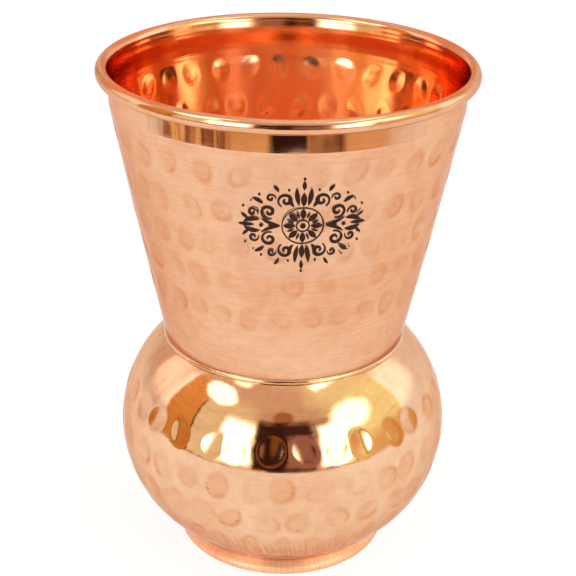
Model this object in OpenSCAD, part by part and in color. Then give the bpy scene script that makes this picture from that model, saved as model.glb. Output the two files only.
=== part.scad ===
// Hammered copper water tumbler: a flared conical cup brazed onto a round
// lota-shaped bulb that stands on a low flared foot ring.
// Millimetres, +Z up. Origin: centre of the resting face under the foot, on the
// axis. The clear label is on the -Y side, which is the front.

/* [Body] */
// Overall height from the resting face to the top of the rolled rim
total_h = 121.4; // [80:0.1:180]
// Outside diameter of the rolled rim, the widest part of the tumbler
rim_d = 86; // [55:0.5:130]
// Thickness of the copper sheet of cup, bulb, foot ring and base disc
sheet_t = 0.55; // [0.4:0.05:0.8]

/* [Cup wall] */
// Diameter of the round bead rolled along the mouth
bead_d = 3.3; // [2.6:0.1:5]
// Height of the upright band between the conical wall and the bead
band_h = 5.1; // [1:0.1:15]
// Height of the lower edge of the cup, where it sits on the bulb
neck_z = 55.2; // [30:0.1:90]
// Outside diameter of the cup wall at its lower edge
neck_d = 56.8; // [40:0.1:80]
// How far the cup wall bows outward between its lower edge and the band
wall_bow = 0.25; // [0.05:0.01:2]

/* [Bulb] */
// Outside diameter of the bulb at its widest height
belly_d = 79; // [60:0.5:120]
// Height at which the bulb is widest
belly_z = 31; // [20:0.5:60]
// Radius of the round side profile of the bulb
belly_arc_r = 30.4; // [25:0.1:45]
// Length of the bulb collar that stands up inside the cup wall
collar_h = 4; // [2:0.5:10]

/* [Foot and base] */
// Outside diameter of the foot ring near the ground
foot_d = 51; // [40:0.5:80]
// Outside diameter of the crease between bulb and foot ring
crease_d = 46.6; // [36:0.2:70]
// Rounding radius of the lower outer edge of the foot ring
toe_r = 1.4; // [0.8:0.1:3]
// Width of the flat face the tumbler stands on
rest_w = 1.1; // [0.6:0.1:3]
// Outside diameter of the turned-down lower end of the bulb
spigot_d = 44.4; // [34:0.2:68]
// Height of the lower edge of the turned-down end above the ground
spigot_z = 1.4; // [0.6:0.1:2.5]
// Height of the underside of the base disc above the ground
base_z = 2.7; // [1.5:0.1:3.5]

/* [Brazed seams] */
// Section radius of the filler bead in the neck crease
neck_braze_r = 0.75; // [0.4:0.05:1.5]
// Section radius of the filler bead in the foot crease
foot_braze_r = 0.45; // [0.3:0.05:1]
// Section radius of the filler bead under the base seam
base_braze_r = 0.45; // [0.3:0.05:0.8]

/* [Label] */
// Width of the clear label, measured along the cup wall
label_w = 34.8; // [20:0.2:60]
// Height of the clear label
label_h = 28.4; // [15:0.2:50]
// Height of the middle of the label above the ground
label_z = 97.2; // [70:0.1:110]
// Turn of the label middle from the front, positive towards +X
label_turn = 5.5; // [-180:0.5:180]
// Thickness of the clear label film
label_t = 0.12; // [0.08:0.02:0.4]

/* [Output] */
// Sub-part to draw

/* [Hidden] */
$fn = 180;
section_fn = 64;

// bead along the mouth
bead_r = bead_d / 2;
bead_c = [rim_d / 2 - bead_r, total_h - bead_r];
curl_end_a = 235;

// cup wall: a very large arc through neck_p and band_p, bowed by wall_bow
neck_p = [neck_d / 2, neck_z];
band_p = [rim_d / 2 - bead_d + sheet_t, total_h - bead_d - band_h];
chord = band_p - neck_p;
chord_l = norm(chord);
wall_arc_r = (chord_l * chord_l / 4 + wall_bow * wall_bow) / (2 * wall_bow);
wall_out = [chord.y, -chord.x] / chord_l;
wall_c = (neck_p + band_p) / 2 - wall_out * (wall_arc_r - wall_bow);
wall_fn = round(PI * wall_arc_r / 2) * 4;
wall_n = (neck_p - wall_c) / wall_arc_r;
function wall_r(z) = wall_c.x + sqrt(wall_arc_r * wall_arc_r - pow(z - wall_c.y, 2));

// bulb: arc centre, and the height of its outer face at a radius below the belly
belly_c = [belly_d / 2 - belly_arc_r, belly_z];
function bulb_low_z(r) = belly_z - sqrt(belly_arc_r * belly_arc_r - pow(r - belly_c.x, 2));
collar_top = neck_z + collar_h;

// fold of the bulb sheet, where its belly arc meets the inner face of the cup wall
centres = wall_c - belly_c;
centre_l = norm(centres);
wall_in_r = wall_arc_r - sheet_t;
fold_a = atan2(centres.y, centres.x)
         - acos((pow(belly_arc_r, 2) + pow(centre_l, 2) - pow(wall_in_r, 2)) / (2 * belly_arc_r * centre_l));
fold_p = belly_c + belly_arc_r * [cos(fold_a), sin(fold_a)];

// foot ring: toe circle, crease point and the line that touches both
spigot_r = spigot_d / 2;
toe_c = [foot_d / 2 - toe_r, toe_r];
crease_p = [crease_d / 2, bulb_low_z(crease_d / 2)];
crease_v = crease_p - toe_c;
flank_a = atan2(crease_v.y, crease_v.x) - acos(toe_r / norm(crease_v));
flank_n = [cos(flank_a), sin(flank_a)];

// base disc
base_r = spigot_r - sheet_t;
base_corner = 2 * sheet_t;

// label
label_span = label_w / wall_r(label_z) * 180 / PI;

// everything inside the cup wall's outer face moved in by the given distance
module wall_inside(inset) {
  translate(wall_c) circle(r = wall_arc_r - inset, $fn = wall_fn);
}

// everything inside the bulb's outer face moved in by the given distance
module bulb_inside(inset) {
  translate(belly_c) circle(r = belly_arc_r - inset, $fn = 360);
}

// half-plane rectangle from radius r0 to r1 and height z0 to z1
module box2(r0, r1, z0, z1) {
  translate([r0, z0]) square([r1 - r0, z1 - z0]);
}

// the rolled bead: it leaves the band at its inner side, goes over the top and
// ends just short of the band's outer face
module curl_2d() {
  translate(bead_c) difference() {
    circle(r = bead_r, $fn = section_fn);
    circle(r = bead_r - sheet_t, $fn = section_fn);
    polygon([[0, 0],
             [-2 * bead_r, 0],
             [-2 * bead_r, -2 * bead_r],
             2 * bead_r * [cos(curl_end_a), sin(curl_end_a)]]);
  }
}

// conical wall, upright band and bead
module cup_2d() {
  difference() {
    intersection() {
      wall_inside(0);
      box2(neck_d / 4, rim_d, neck_z, band_p.y);
    }
    wall_inside(sheet_t);
  }
  box2(band_p.x - sheet_t, band_p.x, band_p.y, bead_c.y);
  curl_2d();
}

// collar inside the cup wall, belly, and the turned-down lower end
module bulb_2d() {
  difference() {
    intersection() {
      wall_inside(sheet_t);
      box2(neck_d / 4, belly_d, fold_p.y, collar_top);
    }
    wall_inside(2 * sheet_t);
  }
  difference() {
    bulb_inside(0);
    bulb_inside(sheet_t);
    polygon([belly_c,
             belly_c + 2 * belly_arc_r * [cos(fold_a), sin(fold_a)],
             [belly_c.x, 4 * belly_arc_r],
             [-belly_d, 4 * belly_arc_r],
             [-belly_d, -belly_arc_r],
             [spigot_r - sheet_t / 2, -belly_arc_r],
             [spigot_r - sheet_t / 2, spigot_z + belly_z / 2],
             [belly_c.x, spigot_z + belly_z / 2]]);
  }
  intersection() {
    translate(fold_p) circle(r = sheet_t, $fn = section_fn);
    bulb_inside(0);
    wall_inside(sheet_t);
  }
  box2(spigot_r - sheet_t, spigot_r, spigot_z, bulb_low_z(spigot_r) + sheet_t);
}

// folded channel: a leg around the spigot, a sloping flank, a rounded toe, a hem
module foot_ring_2d() {
  difference() {
    union() {
      box2(spigot_r, spigot_r + sheet_t, spigot_z, crease_p.y);
      polygon([[spigot_r, crease_p.y],
               [spigot_r, crease_p.y - 3 * sheet_t],
               [spigot_r + sheet_t, crease_p.y - 2 * sheet_t],
               crease_p - sheet_t * flank_n,
               toe_c + (toe_r - sheet_t) * flank_n,
               toe_c + toe_r * flank_n,
               crease_p]);
    }
    bulb_inside(0);
  }
  difference() {
    translate(toe_c) circle(r = toe_r, $fn = section_fn);
    translate(toe_c) circle(r = toe_r - sheet_t, $fn = section_fn);
    polygon([toe_c,
             toe_c + 3 * toe_r * flank_n,
             toe_c + 3 * toe_r * [-1, 1],
             toe_c + 3 * toe_r * [-1, -1],
             toe_c + 3 * toe_r * [0, -1]]);
  }
  box2(toe_c.x - rest_w, toe_c.x, 0, sheet_t);
}

// flat floor with a flange turned down inside the spigot
module base_disc_2d() {
  box2(0, base_r - base_corner, base_z, base_z + sheet_t);
  box2(base_r - sheet_t, base_r, spigot_z, base_z + sheet_t - base_corner);
  translate([base_r - base_corner, base_z + sheet_t - base_corner])
    intersection() {
      difference() {
        circle(r = base_corner, $fn = section_fn);
        circle(r = base_corner - sheet_t, $fn = section_fn);
      }
      square(base_corner);
    }
}

// filler bead lying on the bulb below the lower edge of the cup wall
module neck_braze_2d() {
  difference() {
    translate([neck_p.x - sheet_t / 2, neck_z - sheet_t / 2])
      circle(r = neck_braze_r, $fn = section_fn);
    bulb_inside(0);
    polygon([[0, fold_p.y],
             fold_p,
             [wall_r(neck_z) - sheet_t / wall_n.x, neck_z],
             neck_p,
             neck_p + collar_h * [-wall_n.y, wall_n.x],
             [0, collar_top]]);
  }
}

// filler bead in the crease between bulb and foot ring
module foot_braze_2d() {
  difference() {
    translate(crease_p + [foot_braze_r / 4, 0]) circle(r = foot_braze_r, $fn = section_fn);
    bulb_inside(0);
    polygon([crease_p,
             crease_p - 9 * foot_braze_r * flank_n,
             crease_p - 9 * foot_braze_r * flank_n + [9, -9],
             crease_p + 9 * [flank_n.y, -flank_n.x]]);
    box2(0, crease_p.x, 0, crease_p.y);
  }
}

module base_braze_2d() {
  difference() {
    translate([base_r, spigot_z]) circle(r = base_braze_r, $fn = section_fn);
    box2(0, crease_d, spigot_z, base_z);
  }
}

module cup() {
  color([0.91, 0.60, 0.44]) rotate_extrude() cup_2d();
}

module bulb() {
  color([0.90, 0.58, 0.42]) rotate_extrude() bulb_2d();
}

module foot_ring() {
  color([0.87, 0.52, 0.36]) rotate_extrude() foot_ring_2d();
}

module base_disc() {
  color([0.88, 0.55, 0.40]) rotate_extrude() base_disc_2d();
}

module neck_braze() {
  color([0.78, 0.66, 0.45]) rotate_extrude() neck_braze_2d();
}

module foot_braze() {
  color([0.78, 0.66, 0.45]) rotate_extrude() foot_braze_2d();
}

module base_braze() {
  color([0.78, 0.66, 0.45]) rotate_extrude() base_braze_2d();
}

// clear film lying on the outer face of the cup wall
module label_film() {
  color([0.95, 0.93, 0.90, 0.35])
    rotate([0, 0, label_turn - 90 - label_span / 2])
      rotate_extrude(angle = label_span)
        difference() {
          intersection() {
            wall_inside(-label_t);
            box2(neck_d / 4, rim_d, label_z - label_h / 2, label_z + label_h / 2);
          }
          wall_inside(0);
        }
}

cup();
bulb();
foot_ring();
base_disc();
neck_braze();
foot_braze();
base_braze();
label_film();
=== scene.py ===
"""Hammered copper water tumbler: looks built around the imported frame."""

import math

import bmesh
import bpy
import numpy as np
from mathutils import Euler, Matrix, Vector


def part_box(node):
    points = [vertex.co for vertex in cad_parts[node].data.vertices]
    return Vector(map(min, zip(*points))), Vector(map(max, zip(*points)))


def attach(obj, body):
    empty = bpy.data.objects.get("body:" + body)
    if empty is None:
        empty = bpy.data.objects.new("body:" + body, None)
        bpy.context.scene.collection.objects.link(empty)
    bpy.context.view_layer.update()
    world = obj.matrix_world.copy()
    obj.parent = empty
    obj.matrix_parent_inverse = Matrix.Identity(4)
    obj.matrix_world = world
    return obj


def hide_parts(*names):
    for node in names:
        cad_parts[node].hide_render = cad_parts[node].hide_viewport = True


bl_info = {
    "name": "Hammered copper tumbler",
    "version": (1, 0, 0),
    "blender": (4, 5, 0),
    "location": "3D View > Sidebar > Tumbler",
    "description": "Builds the sheet pieces, brazed seams, label and studio of a copper tumbler",
    "category": "Add Mesh",
}

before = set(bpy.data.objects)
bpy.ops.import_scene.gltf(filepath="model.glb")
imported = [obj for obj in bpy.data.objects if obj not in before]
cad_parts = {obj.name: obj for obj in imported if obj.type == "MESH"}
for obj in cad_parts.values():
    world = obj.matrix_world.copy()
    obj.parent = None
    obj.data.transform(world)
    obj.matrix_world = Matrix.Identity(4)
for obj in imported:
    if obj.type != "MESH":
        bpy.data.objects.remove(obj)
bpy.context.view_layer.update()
MM = 0.001
BODY = "root"
SHARP = math.radians(42)

# places that the frame gives
CUP_LOW, CUP_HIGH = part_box("cup")
BULB_LOW, BULB_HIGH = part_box("bulb")
FOOT_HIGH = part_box("foot_ring")[1]
BASE_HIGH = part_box("base_disc")[1]
FILM_LOW, FILM_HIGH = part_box("label_film")
TOTAL_H = CUP_HIGH[2]
RIM_R = CUP_HIGH[0]
NECK_Z = CUP_LOW[2]
BELLY_R = BULB_HIGH[0]
COLLAR_TOP = BULB_HIGH[2]
SPIGOT_Z = BULB_LOW[2]
FOOT_R = FOOT_HIGH[0]
CREASE_Z = FOOT_HIGH[2]
BASE_R = BASE_HIGH[0]
BASE_TOP = BASE_HIGH[2]

# round profile of the bulb and the shape of the cup wall, as in the frame's solids
BELLY_Z = 31.0 * MM
BELLY_ARC = 30.4 * MM
NECK_R = 28.4 * MM
BEAD_R = 1.65 * MM
BAND_H = 5.1 * MM
WALL_BOW = 0.25 * MM
SPIGOT_R = 22.2 * MM
CREASE_R = 23.3 * MM
TOE_R = 1.4 * MM
REST_W = 1.1 * MM
BASE_Z = 2.7 * MM
BAND_Z = TOTAL_H - 2 * BEAD_R - BAND_H

# the label and the three seams, as in the frame's solids
LABEL_W = 34.8 * MM
LABEL_TURN = math.radians(5.5)
FILM_T = 0.12 * MM
NECK_SEAM_R = 0.75 * MM
FOOT_SEAM_R = 0.45 * MM
BASE_SEAM_R = 0.45 * MM


# ---------------- settings


def length_setting(name, description, default, low, high):
    """A length setting, in metres, between two lengths."""
    return bpy.props.FloatProperty(
        name=name, description=description, default=default,
        min=low, max=high, unit="LENGTH", precision=5)


def tint_setting(name, description, default):
    """A colour setting: red, green and blue, each from 0 to 1."""
    return bpy.props.FloatVectorProperty(
        name=name, description=description, default=default,
        subtype="COLOR", size=3, min=0, max=1)


class TumblerSheet(bpy.types.PropertyGroup):
    """Sizes of the copper sheet and of its hammer marks."""

    thickness: length_setting(
        "Sheet thickness", "Thickness of the copper sheet", 0.55 * MM, 0.3 * MM, 1 * MM)
    columns: bpy.props.IntProperty(
        name="Columns", description="Steps round the axis in the cup and the bulb",
        default=440, min=96, max=480)
    dents: bpy.props.IntProperty(
        name="Marks in a row", description="Hammer marks in one row round the axis",
        default=31, min=12, max=60)
    cup_depth: length_setting(
        "Cup mark depth", "Depth of the hammer marks in the cup wall", 0.27 * MM, 0, 1 * MM)
    bulb_depth: length_setting(
        "Bulb mark depth", "Depth of the hammer marks in the bulb", 0.34 * MM, 0, 1 * MM)
    mark_inside: bpy.props.FloatProperty(
        name="Marks inside", description="Part of a mark's depth that shows on the cup's inner face",
        default=0.6, min=0.2, max=1, subtype="FACTOR")
    lip_flare: length_setting(
        "Lip flare", "How far the inside of the lip leans out under the bead", 0.42 * MM, 0, 1 * MM)
    mouth_droop: length_setting(
        "Mouth droop", "How much lower the back of the mouth stands", 0.5 * MM, 0, 2 * MM)


class TumblerColours(bpy.types.PropertyGroup):
    """Colours of the copper, the filler metal, the label and its print."""

    copper: tint_setting("Copper", "Mirror tint of the polished copper", (0.78, 0.465, 0.285))
    bulb: tint_setting("Bulb copper", "Mirror tint of the bulb", (0.81, 0.53, 0.34))
    # paler than the cup's copper to brighten the foot ring and base, which reflect dim surroundings:
    # painted light
    foot: tint_setting("Foot copper", "Mirror tint of the foot ring", (0.92, 0.60, 0.41))
    filler: tint_setting("Filler", "Mirror tint of the brazing alloy", (0.74, 0.46, 0.26))
    tarnish: tint_setting("Tarnish", "Colour of dark residue and tarnish", (0.10, 0.035, 0.015))
    film: tint_setting("Film", "Colour of the clear label film", (0.95, 0.80, 0.68))
    ink: tint_setting("Ink", "Colour of the printed ornament", (0.034, 0.010, 0.006))


class TumblerStudio(bpy.types.PropertyGroup):
    """Camera and light of the studio."""

    camera_back: bpy.props.FloatProperty(
        name="Camera distance", description="Distance of the camera in front of the axis",
        default=321.3 * MM, unit="LENGTH")
    camera_up: bpy.props.FloatProperty(
        name="Camera height", description="Height of the camera above the floor",
        default=216.8 * MM, unit="LENGTH")
    camera_pitch: bpy.props.FloatProperty(
        name="Camera pitch", description="Downward tilt of the camera",
        default=math.radians(25.28), subtype="ANGLE")
    camera_roll: bpy.props.FloatProperty(
        name="Camera roll", description="Sideways tilt of the camera",
        default=math.radians(0.963), subtype="ANGLE")
    lens: bpy.props.FloatProperty(
        name="Lens", description="Focal length on a 36 mm wide sensor, in mm",
        default=93.05, min=10, max=300)
    sheet_edge: bpy.props.FloatProperty(
        name="Sheet edge", description="How far the white sheet reaches in front of the axis",
        default=345 * MM, unit="LENGTH")
    tent_light: bpy.props.FloatProperty(
        name="Tent light", description="Brightness of the white tent", default=1.0, min=0)
    window_light: bpy.props.FloatProperty(
        name="Window light", description="Brightness of the windows", default=2.2, min=0)


# ---------------- meshes


def grid_faces(rows, columns, close_rows, close_columns):
    """Quads of a rows x columns grid of points, as an (n, 4) array, wrapped where asked."""
    i = np.arange(rows if close_rows else rows - 1)
    j = np.arange(columns if close_columns else columns - 1)
    i, j = np.meshgrid(i, j, indexing="ij")
    i2, j2 = (i + 1) % rows, (j + 1) % columns
    a, b = i * columns + j, i * columns + j2
    c, d = i2 * columns + j2, i2 * columns + j
    return np.stack([a, b, c, d], -1).reshape(-1, 4)


def fan(pole, start, columns, backward):
    """Triangles from a pole to a closed ring of points whose first has the index start."""
    step = np.arange(columns)
    after = (step + 1) % columns
    first, second = (after, step) if backward else (step, after)
    return np.stack([np.full(columns, pole), start + first, start + second], -1)


def mesh_piece(name, points, quads, tris=None, sharp=SHARP):
    """A mesh object made from whole arrays of points, quads and triangles, shaded smooth
    but for the edges that turn by more than sharp."""
    mesh = bpy.data.meshes.new(name)
    faces = quads.tolist() + ([] if tris is None else tris.tolist())
    mesh.from_pydata(np.asarray(points, dtype=float).reshape(-1, 3).tolist(), [], faces)
    mesh.polygons.foreach_set("use_smooth", np.ones(len(mesh.polygons), dtype=bool))
    mesh.update()
    if sharp:
        mesh.set_sharp_from_angle(angle=sharp)
    piece = bpy.data.objects.new(name, mesh)
    bpy.context.scene.collection.objects.link(piece)
    return piece


def finish_piece(piece, material, slot, *nodes):
    """Turns the faces of a closed piece outward, gives it its material and its body, and hides the
    frame's nodes that it stands for. The slot argument is not used."""
    work = bmesh.new()
    work.from_mesh(piece.data)
    bmesh.ops.recalc_face_normals(work, faces=work.faces)
    work.to_mesh(piece.data)
    work.free()
    piece.data.materials.append(material)
    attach(piece, BODY)
    if nodes:
        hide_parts(*nodes)


def turned(r, z, angles):
    """Surface of revolution: x = r sin(a), y = -r cos(a), so angle 0 is the front."""
    return np.stack([r * np.sin(angles), -r * np.cos(angles), z + 0 * angles], -1)


def ring_piece(name, outline, columns, change, sharp=SHARP):
    """Closed outline carried round the axis; change moves the grid of points and gives two values at
    each for the copper shader: its wear and painted light, and whether it is inside."""
    angles = np.arange(columns) * (2 * math.pi / columns)
    a, r = np.meshgrid(angles, outline[:, 0])
    z = np.meshgrid(angles, outline[:, 1])[1]
    r, z, wear_and_painted_light, inside = change(a, r, z)
    faces = grid_faces(len(outline), columns, True, True)
    piece = mesh_piece(name, turned(r, z, a), faces, sharp=sharp)
    for key, value in (("wear_and_painted_light", wear_and_painted_light), ("inside", inside)):
        layer = piece.data.attributes.new(key, "FLOAT", "POINT")
        layer.data.foreach_set("value", value.astype(np.float32).ravel())
    return piece


def disc_piece(name, r, z, columns):
    """Outline that starts and ends on the axis, turned round it, with one point a pole."""
    angles = np.arange(columns) * (2 * math.pi / columns)
    a, rr = np.meshgrid(angles, r[1:-1])
    zz = np.meshgrid(angles, z[1:-1])[1]
    rows = len(r) - 2
    poles = [[0, 0, z[0]], [0, 0, z[-1]]]
    points = np.concatenate([turned(rr, zz, a).reshape(-1, 3), poles])
    top = fan(rows * columns, 0, columns, True)
    bottom = fan(rows * columns + 1, (rows - 1) * columns, columns, False)
    quads = grid_faces(rows, columns, False, True)
    return mesh_piece(name, points, quads, np.concatenate([top, bottom]))


def arc(centre, radius, start, end, count):
    """Points on a circle from one angle to another, in degrees, ends included."""
    a = np.radians(np.linspace(start, end, count))
    return np.stack([centre[0] + radius * np.cos(a), centre[1] + radius * np.sin(a)], -1)


def bearing(point, centre=(0, 0)):
    """Angle of a point of the outline seen from a centre, in degrees."""
    r, z = np.subtract(point, centre)
    return math.degrees(math.atan2(z, r))


def line(start, end, count):
    """Evenly spaced points on a straight line, ends included."""
    t = np.linspace(0, 1, count)[:, None]
    return (1 - t) * np.asarray(start, float) + t * np.asarray(end, float)


def joined(*runs):
    """Runs of outline points joined into one closed outline, shared ends kept once."""
    kept = [runs[0]]
    for run in runs[1:]:
        same = np.linalg.norm(run[0] - kept[-1][-1]) < 1e-6
        kept.append(run[1:] if same else run)
    outline = np.concatenate(kept)
    if np.linalg.norm(outline[0] - outline[-1]) < 1e-6:
        outline = outline[:-1]
    return outline


def circles_meet(c0, r0, c1, r1, side):
    """Point where two circles meet; side +1 or -1 picks one of the two."""
    v = np.subtract(c1, c0)
    d = np.hypot(*v)
    along = (r0 * r0 - r1 * r1 + d * d) / (2 * d)
    away = side * math.sqrt(max(r0 * r0 - along * along, 0))
    u = v / d
    return np.asarray(c0) + along * u + away * np.array([-u[1], u[0]])


# ---------------- profile of the sheets


class Profile:
    """Centres and end points that the cup, bulb, seams and label share."""

    def __init__(self, sheet):
        t = self.t = sheet.thickness
        self.flare = sheet.lip_flare
        self.bead_c = np.array([RIM_R - BEAD_R, TOTAL_H - BEAD_R])
        self.neck = np.array([NECK_R, NECK_Z])
        self.band = np.array([RIM_R - 2 * BEAD_R + t, BAND_Z])
        chord = self.band - self.neck
        length = np.hypot(*chord)
        self.wall_R = (length**2 / 4 + WALL_BOW**2) / (2 * WALL_BOW)
        out = np.array([chord[1], -chord[0]]) / length
        self.wall_c = (self.neck + self.band) / 2 - out * (self.wall_R - WALL_BOW)
        self.belly_c = np.array([BELLY_R - BELLY_ARC, BELLY_Z])
        self.fold = circles_meet(self.belly_c, BELLY_ARC, self.wall_c, self.wall_R - t, -1)

    def wall_r(self, z, inset=0.0):
        """Radius of the cup wall at a height: a very large arc, moved in by inset."""
        R = self.wall_R - inset
        return self.wall_c[0] + np.sqrt(R * R - (z - self.wall_c[1]) ** 2)

    def wall_run(self, z0, z1, count, inset=0.0):
        """Points up or down the cup wall between two heights."""
        z = np.linspace(z0, z1, count)
        return np.stack([self.wall_r(z, inset), z], -1)

    def belly_low(self, r):
        """Height of the bulb's outer face below the belly at a radius."""
        return BELLY_Z - np.sqrt(BELLY_ARC**2 - (r - self.belly_c[0]) ** 2)

    def lip(self, points):
        """Leans the inside of the lip outward under the bead: r grows by flare * s^2 with
        s from 0 at the start of the lean to 1 at the bead's middle, less towards the rim."""
        r, z = points[:, 0], points[:, 1]
        s = np.clip((z - self.bead_c[1]) / (2 * BEAD_R) + 1, 0, 1)
        inner = np.clip((RIM_R - r) / (2 * BEAD_R), 0, 1)
        return np.stack([r + self.flare * s**2 * inner, z], -1)

    def cup_outline(self):
        """Wall, upright band and the bead rolled over outward, outside then inside; the
        inside turns from the wall into the band by an easy bend."""
        t, c, ease = self.t, self.bead_c, 2 * MM
        bend = self.wall_run(BAND_Z + ease, BAND_Z - ease, 9, t)
        straight = self.band[0] - t
        bend[:, 0] = np.where(bend[:, 1] > BAND_Z, straight, bend[:, 0])
        bend[:, 0] -= 0.10 * MM * np.sin(math.pi * np.linspace(1, 0, 9)) ** 2
        return joined(
            self.wall_run(NECK_Z, BAND_Z, 88),
            line(self.band, [self.band[0], c[1]], 9),
            arc(c, BEAD_R - t, 180, -125, 15),
            self.lip(arc(c, BEAD_R, -125, 180, 34)),
            self.lip(line([straight, c[1]], [straight, BAND_Z + ease], 9)),
            bend,
            self.wall_run(BAND_Z - ease, NECK_Z, 64, t),
            line([self.wall_r(NECK_Z, t), NECK_Z], self.neck, 3),
        )

    def bulb_outline(self):
        """Collar, fold, belly and turned-down end, outside then inside."""
        t, c = self.t, self.belly_c
        fold_a = bearing(self.fold, c)
        out_end = math.degrees(math.asin((self.belly_low(SPIGOT_R) - c[1]) / BELLY_ARC))
        in_r = BELLY_ARC - t
        in_end = -math.degrees(math.acos((SPIGOT_R - t - c[0]) / in_r))
        wall_n = (self.fold - self.wall_c) / (self.wall_R - t)
        turn = bearing(wall_n) + 180
        spigot_in = SPIGOT_R - t
        in_z = c[1] + in_r * math.sin(math.radians(in_end))
        top_in, top_out = self.wall_r(COLLAR_TOP, 2 * t), self.wall_r(COLLAR_TOP, t)
        return joined(
            self.wall_run(COLLAR_TOP, self.fold[1], 5, t),
            arc(c, BELLY_ARC, fold_a, out_end, 104),
            line([SPIGOT_R, self.belly_low(SPIGOT_R)], [SPIGOT_R, SPIGOT_Z], 4),
            line([SPIGOT_R, SPIGOT_Z], [spigot_in, SPIGOT_Z], 3),
            line([spigot_in, SPIGOT_Z], [spigot_in, in_z], 4),
            arc(c, in_r, in_end, fold_a, 66),
            arc(self.fold, t, fold_a + 180, turn, 5),
            self.wall_run(self.fold[1] - t * wall_n[1], COLLAR_TOP, 6, 2 * t),
            line([top_in, COLLAR_TOP], [top_out, COLLAR_TOP], 3),
        )

    def foot_outline(self):
        """Flank, toe and hem outside, then inside, the leg, and the face on the bulb."""
        t = self.t
        toe = np.array([FOOT_R - TOE_R, TOE_R])
        crease = np.array([CREASE_R, CREASE_Z])
        v = crease - toe
        flank = bearing(v) - math.degrees(math.acos(TOE_R / np.hypot(*v)))
        n = np.array([math.cos(math.radians(flank)), math.sin(math.radians(flank))])
        leg = SPIGOT_R + t
        under = np.linspace(SPIGOT_R, CREASE_R, 6)
        return joined(
            line(crease, toe + TOE_R * n, 8),
            arc(toe, TOE_R, flank, -90, 18),
            line([toe[0], 0], [toe[0] - REST_W, 0], 4),
            line([toe[0] - REST_W, 0], [toe[0] - REST_W, t], 3),
            line([toe[0] - REST_W, t], [toe[0], t], 3),
            arc(toe, TOE_R - t, -90, flank, 12),
            line(toe + (TOE_R - t) * n, crease - t * n, 5),
            line([leg, CREASE_Z - 2 * t], [leg, SPIGOT_Z], 4),
            line([leg, SPIGOT_Z], [SPIGOT_R, SPIGOT_Z], 3),
            line([SPIGOT_R, SPIGOT_Z], [SPIGOT_R, self.belly_low(SPIGOT_R)], 4),
            np.stack([under, self.belly_low(under)], -1),
        )

    def base_outline(self):
        """Floor from the axis to its rounded corner, the flange, and back underneath."""
        t = self.t
        corner = [BASE_R - 2 * t, BASE_TOP - 2 * t]
        runs = [
            line([0, BASE_TOP], [corner[0], BASE_TOP], 48),
            arc(corner, 2 * t, 90, 0, 8),
            line([BASE_R, corner[1]], [BASE_R, SPIGOT_Z], 3),
            line([BASE_R, SPIGOT_Z], [BASE_R - t, SPIGOT_Z], 3),
            line([BASE_R - t, SPIGOT_Z], [BASE_R - t, corner[1]], 3),
            arc(corner, t, 0, 90, 6),
            line([corner[0], BASE_Z], [0, BASE_Z], 48),
        ]
        kept = [runs[0]] + [run[1:] for run in runs[1:]]
        return np.concatenate(kept)


# ---------------- hammer marks


def mark_rows(rows, count, half_w, half_h, depth, seed):
    """Places and sizes of hammer marks: rows of (height, turn in degrees), evenly spaced round the axis
    with small random shifts. Returns one array each for the angle a, the height z, the half width w,
    the half height h, the depth d, the lean of the mark, how strongly its edge is worn and painted
    darker, partly as painted shade, and the direction of that worn and painted-shade side."""
    rng = np.random.default_rng(seed)
    z = np.repeat([row[0] for row in rows], count)
    turn = np.repeat([row[1] for row in rows], count)
    a = np.radians(turn) + np.tile(np.arange(count), len(rows)) * (2 * math.pi / count)
    n = len(z)
    return {
        "a": a + np.radians(rng.normal(0, 0.9, n)),
        "z": z + rng.normal(0, 0.35 * MM, n),
        "w": half_w * (1 + rng.normal(0, 0.07, n)),
        "h": half_h * (1 + rng.normal(0, 0.07, n)),
        "d": depth * np.clip(1 + rng.normal(0, 0.16, n), 0.5, 1.17),
        "lean": rng.normal(0, 0.16, n),
        "worn_and_painted_shade": rng.uniform(0.4, 1.0, n),
        "worn_and_shade_at": rng.normal(-1.0, 0.9, n),
    }


def mark_depth(marks, a, s, radius):
    """Depth of the sheet below its smooth surface at angle a and height or arc length s. Each mark is a
    bowl 1 - q^2 inside q < 1, where q is the distance from its middle in units of its half sizes, with
    a low rim raised just outside it. The second result is the wear and painted light of the copper
    shader: strongest in a crescent near the edge of each mark, on one side of it, which the shader
    paints darker on outer faces (partly wear, partly painted shade) and paler on inner faces (partly
    polish, partly painted highlight)."""
    total, wear_and_painted_light = np.zeros(a.shape), np.zeros(a.shape)
    for k in range(len(marks["a"])):
        near = np.abs(s - marks["z"][k]) < 2 * marks["h"][k]
        rows = np.where(near.any(axis=1))[0]
        if not len(rows):
            continue
        cut = slice(rows[0], rows[-1] + 1)
        da = (a[cut] - marks["a"][k] + math.pi) % (2 * math.pi) - math.pi
        x = da * radius[cut]
        y = s[cut] - marks["z"][k]
        q = np.hypot((x + marks["lean"][k] * y) / marks["w"][k], y / marks["h"][k])
        bowl = np.clip(1 - q * q, 0, None) ** 1.12
        rim = np.exp(-(((q - 1.1) / 0.13) ** 2))
        total[cut] = np.maximum(total[cut], marks["d"][k] * bowl) - 0.04 * marks["d"][k] * rim
        # side: how near a point lies to the mark's worn side, where the crescent is strongest and the
        # copper is painted darker, partly wear and partly painted shade
        side = 0.5 + 0.5 * np.cos(np.arctan2(y, x) - marks["worn_and_shade_at"][k])
        crescent = np.exp(-(((q - 0.82) / 0.2) ** 2)) * marks["worn_and_painted_shade"][k] * (0.35 + 0.65 * side)
        middle = np.clip((1 - q) * 4, 0, 1) * 0.3
        wear_and_painted_light[cut] = np.maximum(wear_and_painted_light[cut], np.maximum(crescent, middle))
    return total, wear_and_painted_light


def random_waves(seed, low, high, count):
    """A function of the angle round the axis: the mean of sine waves whose whole turns,
    between low and high, and phases are random."""
    rng = np.random.default_rng(seed)
    turns = rng.integers(low, high, count)
    phases = rng.uniform(0, 2 * math.pi, count)
    return lambda a: sum(np.sin(n * a + p) for n, p in zip(turns, phases)) / count


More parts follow.
